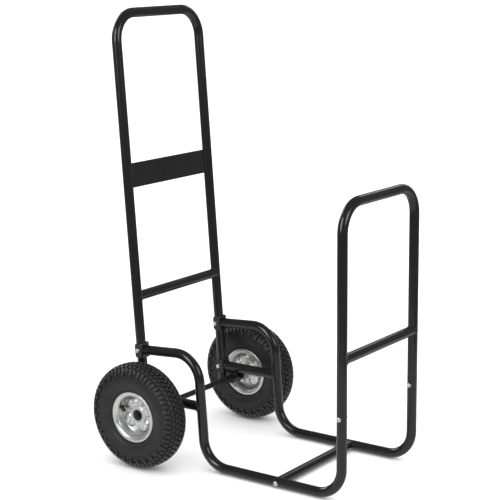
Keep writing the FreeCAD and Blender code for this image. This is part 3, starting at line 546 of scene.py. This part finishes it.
def make_rim_mesh(name):
    """Half a rim, pressed from sheet: rolled flange, barrel, and a web with petals for the bolts."""
    angle = np.arange(RIM_COUNT) * TURN / RIM_COUNT
    rows = [(np.full(RIM_COUNT, x), np.full(RIM_COUNT, r)) for x, r in DISH]
    for radius in np.linspace(44.0, HUB_RADIUS, 34):
        rows.append((web_height(radius, angle), np.full(RIM_COUNT, radius)))
    front = np.array(rows).transpose(0, 2, 1)
    slope = np.gradient(front, axis=0)
    normal = np.stack([slope[..., 1], -slope[..., 0]], -1)
    normal /= np.linalg.norm(normal, axis=-1, keepdims=True)
    back = front + normal * RIM_SHEET
    shape = np.concatenate([front, back[::-1]])
    points = np.stack([shape[..., 0], shape[..., 1] * np.cos(angle), shape[..., 1] * np.sin(angle)], -1)
    faces = grid_faces(len(shape), RIM_COUNT, wrap_rows=True, wrap_columns=True)
    return add_mesh(name, points.reshape(-1, 3), faces, MATERIALS["zinc_pressing"])


# ---- wheels --------------------------------------------------------------------------------------

def wheel_place(side):
    """From the wheel's own frame, in metres, to the cart's."""
    turn = Matrix.Rotation(math.pi, 4, "Z") if SIDES[side] < 0 else Matrix.Identity(4)
    return Matrix.Translation(Vector(joints[f"{side}_wheel_spin"]["pos_m"])) @ turn


def make_valve(side):
    """A rubber stem and its ribbed cap, along the CAD valve's own line."""
    stem, cap = middle(f"valve_stem_{side}"), middle(f"valve_cap_{side}")
    along = (cap - stem).normalized()
    root = stem - along * 7.0
    rubber = lathe(f"valve_rubber_{side}",
                   ((-2.0, 0), (-2.0, 6.6), (-0.6, 7.2), (0.6, 6.9), (1.6, 5.6), (3.2, 4.7), (6.0, 4.3),
                    (9.5, 3.9), (10.4, 3.7), (11.0, 3.2), (12.0, 3.1), (12.0, 0)),
                   MATERIALS["soft_rubber"], 48)
    finish_piece(aim(rubber, root, along), f"{side}_wheel", "soft_rubber", f"valve_stem_{side}")
    count, ribs = 144, 18
    outline = np.array([(0, 3.0), (0, 4.1), (0.5, 4.5), (1.8, 4.6), (2.2, 4.35), (3.0, 4.35), (6.6, 4.15),
                        (8.0, 3.9), (8.9, 3.2), (9.3, 2.2), (9.45, 1.0)])
    angle = np.arange(count) * TURN / count
    wave = 0.28 * smooth_step(2.0, 3.0, outline[:, :1]) * (1 - smooth_step(7.2, 8.6, outline[:, :1]))
    radius = outline[:, 1:] * np.ones(count) + wave * np.cos(ribs * angle)
    shape = np.stack([outline[:, :1] * np.ones(count), radius * np.cos(angle), radius * np.sin(angle)], -1)
    faces = grid_faces(len(outline), count, wrap_columns=True)
    faces += [tuple(range(count))[::-1], tuple((len(outline) - 1) * count + j for j in range(count))]
    ribbed = add_mesh(f"valve_ribbed_cap_{side}", shape.reshape(-1, 3), faces, MATERIALS["cap_plastic"])
    finish_piece(aim(ribbed, root + along * 10.8, along), f"{side}_wheel", "cap_plastic", f"valve_cap_{side}")


BEARING_BORE, BEARING_OUTSIDE = 14.6, 17.5     # radii of a bearing's outer ring
BEARING_WIDTH = 11.0
SEAL_BORE = 10.7
SEAL_INSET = 0.35            # from the bearing's face in to the seal
BALL_PATH = 12.4             # radius of the circle that the balls' centres run on
GROOVE = 3.2                 # radius of the groove that clears a ball of radius 3


def make_bearings(side):
    """Two sealed bearings: polished outer rings, with a black lip seal in each face."""
    low, high = box_mm(f"bearing_outer_rings_{side}")
    hub = Vector(joints[f"{side}_wheel_spin"]["pos_m"]) / MM
    half = BEARING_WIDTH / 2
    middles = sorted((low.x + half - hub.x, high.x - half - hub.x))
    lip = math.acos((BEARING_BORE - BALL_PATH) / GROOVE)
    sweep = np.linspace(lip, -lip, 13)
    groove = np.stack([GROOVE * np.sin(sweep), BALL_PATH + GROOVE * np.cos(sweep)], 1)
    outline = np.vstack([[(-half, BEARING_BORE), (-half, BEARING_OUTSIDE - 0.5),
                          (-half + 0.5, BEARING_OUTSIDE), (half - 0.5, BEARING_OUTSIDE),
                          (half, BEARING_OUTSIDE - 0.5), (half, BEARING_BORE)], groove])
    seal = np.array([(0, BEARING_BORE - 0.05), (0.3, BEARING_BORE - 0.3), (0.25, 13.6), (-0.25, 13.2),
                     (-0.3, 12.4), (0.15, 12.0), (0.2, 11.2), (-0.1, SEAL_BORE), (-0.6, SEAL_BORE),
                     (-0.6, BEARING_BORE - 0.05)])
    for name, slot, shapes in (
            ("bearing_races", "bearing_steel", [outline + (m, 0) for m in middles]),
            ("bearing_seals", "soft_rubber", [seal * (face, 1) + (m + face * (half - SEAL_INSET), 0)
                                              for m in middles for face in (-1, 1)])):
        points, faces = [], []
        for shape in shapes:
            ring, quads = turned(shape, 96)
            faces += [tuple(len(points) * len(ring) + i for i in quad) for quad in quads]
            points.append(ring)
        piece = add_mesh(f"{name}_{side}", np.vstack(points) + hub, faces, MATERIALS[slot])
        recalculate(piece)
        soften(piece, 25)
        stands_for = (f"bearing_outer_rings_{side}",) if name == "bearing_races" else ()
        finish_piece(piece, f"{side}_wheel", slot, *stands_for)


tyre = make_tyre_mesh("moulded_tyre")
rim_half = make_rim_mesh("pressed_rim")
for source in (tyre, rim_half):
    recalculate(source)
turn_over = Matrix.Rotation(math.pi, 4, "Y")
for side in SIDES:
    place = wheel_place(side)
    copies = (("moulded_tyre", tyre, place, "tyre_rubber", "tyre"),
              ("pressed_rim_outer", rim_half, place, "zinc_pressing", "rim_outer"),
              ("pressed_rim_inner", rim_half, place @ turn_over, "zinc_pressing", "rim_inner"))
    for name, source, where, slot, node in copies:
        piece = bpy.data.objects.new(f"{name}_{side}", source.data)
        bpy.context.scene.collection.objects.link(piece)
        piece.matrix_world = where
        finish_piece(piece, f"{side}_wheel", slot, f"{node}_{side}")
    make_valve(side)
    make_bearings(side)
for source in (tyre, rim_half):
    bpy.data.objects.remove(source)


# ---- welds ---------------------------------------------------------------------------------------

BEAD = 2.1                   # radius of a weld bead
RIPPLE = 1.7                 # length of one ripple


def make_bead(name, path, closed, flat=None):
    """A rippled weld bead along a path."""
    path = np.asarray(path, float)
    steps = np.linalg.norm(np.diff(np.vstack([path, path[:1]]) if closed else path, axis=0), axis=1)
    walk = np.concatenate([[0], np.cumsum(steps)])
    count = max(12, int(walk[-1] / RIPPLE) * 5)
    along = np.linspace(0, walk[-1], count, endpoint=not closed)
    source = np.vstack([path, path[:1]]) if closed else path
    line = np.stack([np.interp(along, walk, source[:, i]) for i in range(3)], 1)
    ahead = np.roll(line, -1, 0) if closed else np.vstack([line[1:], 2 * line[-1:] - line[-2:-1]])
    behind = np.roll(line, 1, 0) if closed else np.vstack([2 * line[:1] - line[1:2], line[:-1]])
    tangent = ahead - behind
    tangent /= np.linalg.norm(tangent, axis=1)[:, None]
    centre = line.mean(0)
    out = line - centre if flat is None else np.repeat(np.array(flat, float)[None], count, 0)
    out -= (out * tangent).sum(1)[:, None] * tangent
    out /= np.linalg.norm(out, axis=1)[:, None]
    across = np.cross(tangent, out)
    phase = along / RIPPLE
    radius = BEAD * (0.9 + 0.16 * np.abs(np.sin(math.pi * phase)) + 0.07 * np.sin(phase * 0.9 + 1.3))
    if not closed:
        radius *= np.clip(np.minimum(along, walk[-1] - along) / 3.0 + 0.25, 0, 1)
    angle = np.arange(10) * TURN / 10
    shape = (line[:, None] + radius[:, None, None]
             * (np.cos(angle)[None, :, None] * out[:, None] + np.sin(angle)[None, :, None] * across[:, None]))
    faces = grid_faces(count, 10, wrap_rows=closed, wrap_columns=True)
    if not closed:
        faces += [tuple(range(10))[::-1], tuple((count - 1) * 10 + j for j in range(10))]
    bead = add_mesh(name, shape.reshape(-1, 3), faces, MATERIALS["black_powder_coat"])
    return finish_piece(bead, "frame", "black_powder_coat")


def meeting_curve(spot, main_axis, branch_axis, radius):
    """Where the skin of a branch tube meets the skin of a main tube of the same radius."""
    main, branch = Vector(main_axis).normalized(), Vector(branch_axis).normalized()
    first = main.cross(branch).normalized()
    second = branch.cross(first)
    points = []
    for k in range(180):
        angle = k * TURN / 180
        ring = (first * math.cos(angle) + second * math.sin(angle)) * radius * 1.004
        flat = ring - main * ring.dot(main)
        run = branch - main * branch.dot(main)
        half = flat.dot(run)
        under = max(0.0, half * half - run.dot(run) * (flat.dot(flat) - radius * radius))
        points.append(Vector(spot) + ring + branch * ((math.sqrt(under) - half) / run.dot(run)))
    return points


plate_normal = Vector(mounts["plate_front_face"]["axis"])
up_handle = Vector((0, plate_normal.z, -plate_normal.y))
tube_low, tube_high = box_mm("floor_cross_tube")
TUBE = (tube_high.z - tube_low.z) / 2
frame_x = box_mm("side_frame_right")[1].x - TUBE

for node, main in (("handle_crossbar", up_handle), ("rack_crossbar", Vector((0, 0, 1)))):
    centre = middle(node)
    for side, sign in SIDES.items():
        spot = Vector((sign * frame_x, centre.y, centre.z))
        make_bead(f"weld_{node}_{side}", meeting_curve(spot, main, (-sign, 0, 0), TUBE), True)

plate = middle("handle_plate")
plate_low, plate_high = box_mm("handle_plate")
for side, sign in SIDES.items():
    for face, offset in (("front", -1), ("back", 1)):
        half = (plate_high.z - plate_low.z) / 2 - 1.5
        edge = Vector((sign * (plate_high.x + 0.2), plate.y, plate.z)) - plate_normal * offset * 1.2
        path = [edge + up_handle * (half * t) for t in np.linspace(-1, 1, 20)]
        make_bead(f"weld_plate_{face}_{side}", path, False, (0, offset, 0))

for side, sign in SIDES.items():
    low, high = box_mm(f"axle_strut_{side}")
    centre = (low + high) / 2
    front = Vector((sign * frame_x, low.y, centre.z))
    make_bead(f"weld_strut_front_{side}", meeting_curve(front, up_handle, (0, 1, 0), TUBE), True)
    ring = [Vector((sign * frame_x + TUBE * math.cos(a), high.y - 1.0, centre.z + TUBE * math.sin(a)))
            for a in np.linspace(0, TURN, 90, endpoint=False)]
    make_bead(f"weld_strut_back_{side}", ring, True)
    hanger_low, hanger_high = box_mm(f"axle_hanger_{side}")
    for name, shift in (("inner", -9.5), ("outer", 9.5)):
        drop = TUBE - math.sqrt(TUBE * TUBE - shift * shift)
        line = [Vector((sign * frame_x + sign * shift, y, hanger_high.z + drop - 0.9))
                for y in np.linspace(hanger_low.y + 2, hanger_high.y - 2, 20)]
        make_bead(f"weld_hanger_{name}_{side}", line, False, (sign * shift, 0, -6))


# ---- edges of the carried-over parts -------------------------------------------------------------

EDGE_ROUND = 0.35            # how far in from a sharp edge its rounding starts
SEAM_REACH = 0.02            # points nearer than this are one point
SHARP = math.radians(40)     # edges sharper than this are rounded


def ease_edges(node):
    """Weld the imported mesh's seams and round its sharp edges a little, by modifiers."""
    thing = frame["nodes"][node]
    weld = thing.modifiers.new("seams", "WELD")
    weld.merge_threshold = SEAM_REACH * MM
    bevel = thing.modifiers.new("edges", "BEVEL")
    bevel.width = EDGE_ROUND * MM
    bevel.segments = 2
    bevel.limit_method = "ANGLE"
    bevel.angle_limit = SHARP
    bevel.harden_normals = True


for node in ("saddle_nuts", "rack_nuts", "axle_end_bolts", "axle_end_washers", "handle_plate",
             *(f"{part}_{side}" for side in SIDES
               for part in ("axle_hanger", "upper_saddle", "lower_saddle", "rim_nuts", "hub"))):
    ease_edges(node)


# ---- stage, light and camera ---------------------------------------------------------------------

FLOOR_RADIUS = 60000.0
FLOOR_DROP = 0.4


def make_floor():
    """A very wide white floor, just under the cart so that nothing shares its plane."""
    count, radius = 96, FLOOR_RADIUS
    angle = np.arange(count) * TURN / count
    points = np.stack([radius * np.cos(angle), radius * np.sin(angle), np.full(count, -FLOOR_DROP)], 1)
    white = Shader("floor_white", (0.88, 0.88, 0.88), 0.9)
    white.use(white.ramp(white.noise(0.6, 2), (0.3, 0.87), (0.7, 0.89)), "Base Color")
    floor = add_mesh("studio_floor", points, [tuple(range(count))], white.material, False)
    floor.visible_glossy = False
    floor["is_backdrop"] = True


def make_card(name, where, size_m, strength, target=(0, 0, 0.45)):
    """A softbox that shows only in reflections."""
    glow = bpy.data.materials.new(name)
    glow.use_nodes = True
    glow.node_tree.nodes.clear()
    emit = glow.node_tree.nodes.new("ShaderNodeEmission")
    emit.inputs["Strength"].default_value = strength
    out = glow.node_tree.nodes.new("ShaderNodeOutputMaterial")
    glow.node_tree.links.new(emit.outputs[0], out.inputs["Surface"])
    half_w, half_h = size_m[0] / 2 / MM, size_m[1] / 2 / MM
    corners = [(-half_w, -half_h, 0), (half_w, -half_h, 0), (half_w, half_h, 0), (-half_w, half_h, 0)]
    card = add_mesh(name, corners, [(0, 1, 2, 3)], glow, False)
    face = (Vector(target) - Vector(where)).to_track_quat("-Z", "Y")
    card.matrix_world = Matrix.Translation(where) @ face.to_matrix().to_4x4()
    card.visible_camera = card.visible_diffuse = card.visible_shadow = False
    card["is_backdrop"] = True


def make_world():
    """White all round for the diffuse light, much dimmer where the cart mirrors it."""
    world = bpy.data.worlds.new("studio")
    bpy.context.scene.world = world
    world.use_nodes = True
    tree = world.node_tree
    tree.nodes.clear()
    out = tree.nodes.new("ShaderNodeOutputWorld")
    blend = tree.nodes.new("ShaderNodeMixShader")
    rays = tree.nodes.new("ShaderNodeLightPath")
    shades = []
    for color, strength in (((1, 1, 1), 1.5), ((0.97, 0.99, 1.0), 0.24)):
        shade = tree.nodes.new("ShaderNodeBackground")
        shade.inputs["Color"].default_value = (*color, 1)
        shade.inputs["Strength"].default_value = strength
        shades.append(shade)
    tree.links.new(rays.outputs["Is Glossy Ray"], blend.inputs[0])
    tree.links.new(shades[0].outputs[0], blend.inputs[1])
    tree.links.new(shades[1].outputs[0], blend.inputs[2])
    tree.links.new(blend.outputs[0], out.inputs["Surface"])


def make_sun(name, direction, strength, spread):
    data = bpy.data.lights.new(name, "SUN")
    data.energy = strength
    data.angle = math.radians(spread)
    sun = bpy.data.objects.new(name, data)
    bpy.context.scene.collection.objects.link(sun)
    sun.rotation_mode = "QUATERNION"
    sun.rotation_quaternion = Vector(direction).to_track_quat("-Z", "Y")
    sun.visible_glossy = False


CAMERA_SPOT = Vector((-2.95765, -2.08472, 1.30158))
CAMERA_TURN, CAMERA_DROP, CAMERA_ROLL = -54.31, 11.78, 0.55      # degrees
CAMERA_LENS = 105.1                                             # mm, on a 36 mm sensor


def make_camera():
    data = bpy.data.cameras.new("camera")
    data.lens = CAMERA_LENS
    data.sensor_width = 36.0
    data.clip_end = 200.0
    camera = bpy.data.objects.new("camera", data)
    bpy.context.scene.collection.objects.link(camera)
    turn, drop, roll = (math.radians(v) for v in (CAMERA_TURN, CAMERA_DROP, CAMERA_ROLL))
    back = Vector((math.sin(turn) * math.cos(drop), -math.cos(turn) * math.cos(drop), math.sin(drop)))
    right = Vector((math.cos(turn), math.sin(turn), 0))
    up = back.cross(right)
    rolled_right = right * math.cos(roll) - up * math.sin(roll)
    rolled_up = right * math.sin(roll) + up * math.cos(roll)
    columns = Matrix((rolled_right, rolled_up, back)).transposed()
    camera.matrix_world = Matrix.Translation(CAMERA_SPOT) @ columns.to_4x4()
    bpy.context.scene.camera = camera


make_floor()
make_world()
make_sun("key", (0.45, 0.6, -1.0), 0.8, 60)
make_card("card_left", (-4.0, 0.5, 2.4), (1.6, 3.0), 7.0)
make_card("card_front", (-0.6, -4.2, 2.6), (2.2, 2.2), 5.0)
make_card("card_right", (4.2, 0.6, 2.0), (1.2, 3.0), 1.8)
make_card("card_back", (0.6, 4.4, 2.6), (2.4, 2.0), 5.0)
make_card("card_floor", (0.0, 0.0, -0.02), (2.8, 2.8), 0.8, (0, 0, 1))
make_camera()
bpy.context.scene.view_settings.view_transform = "Standard"

low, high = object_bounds()
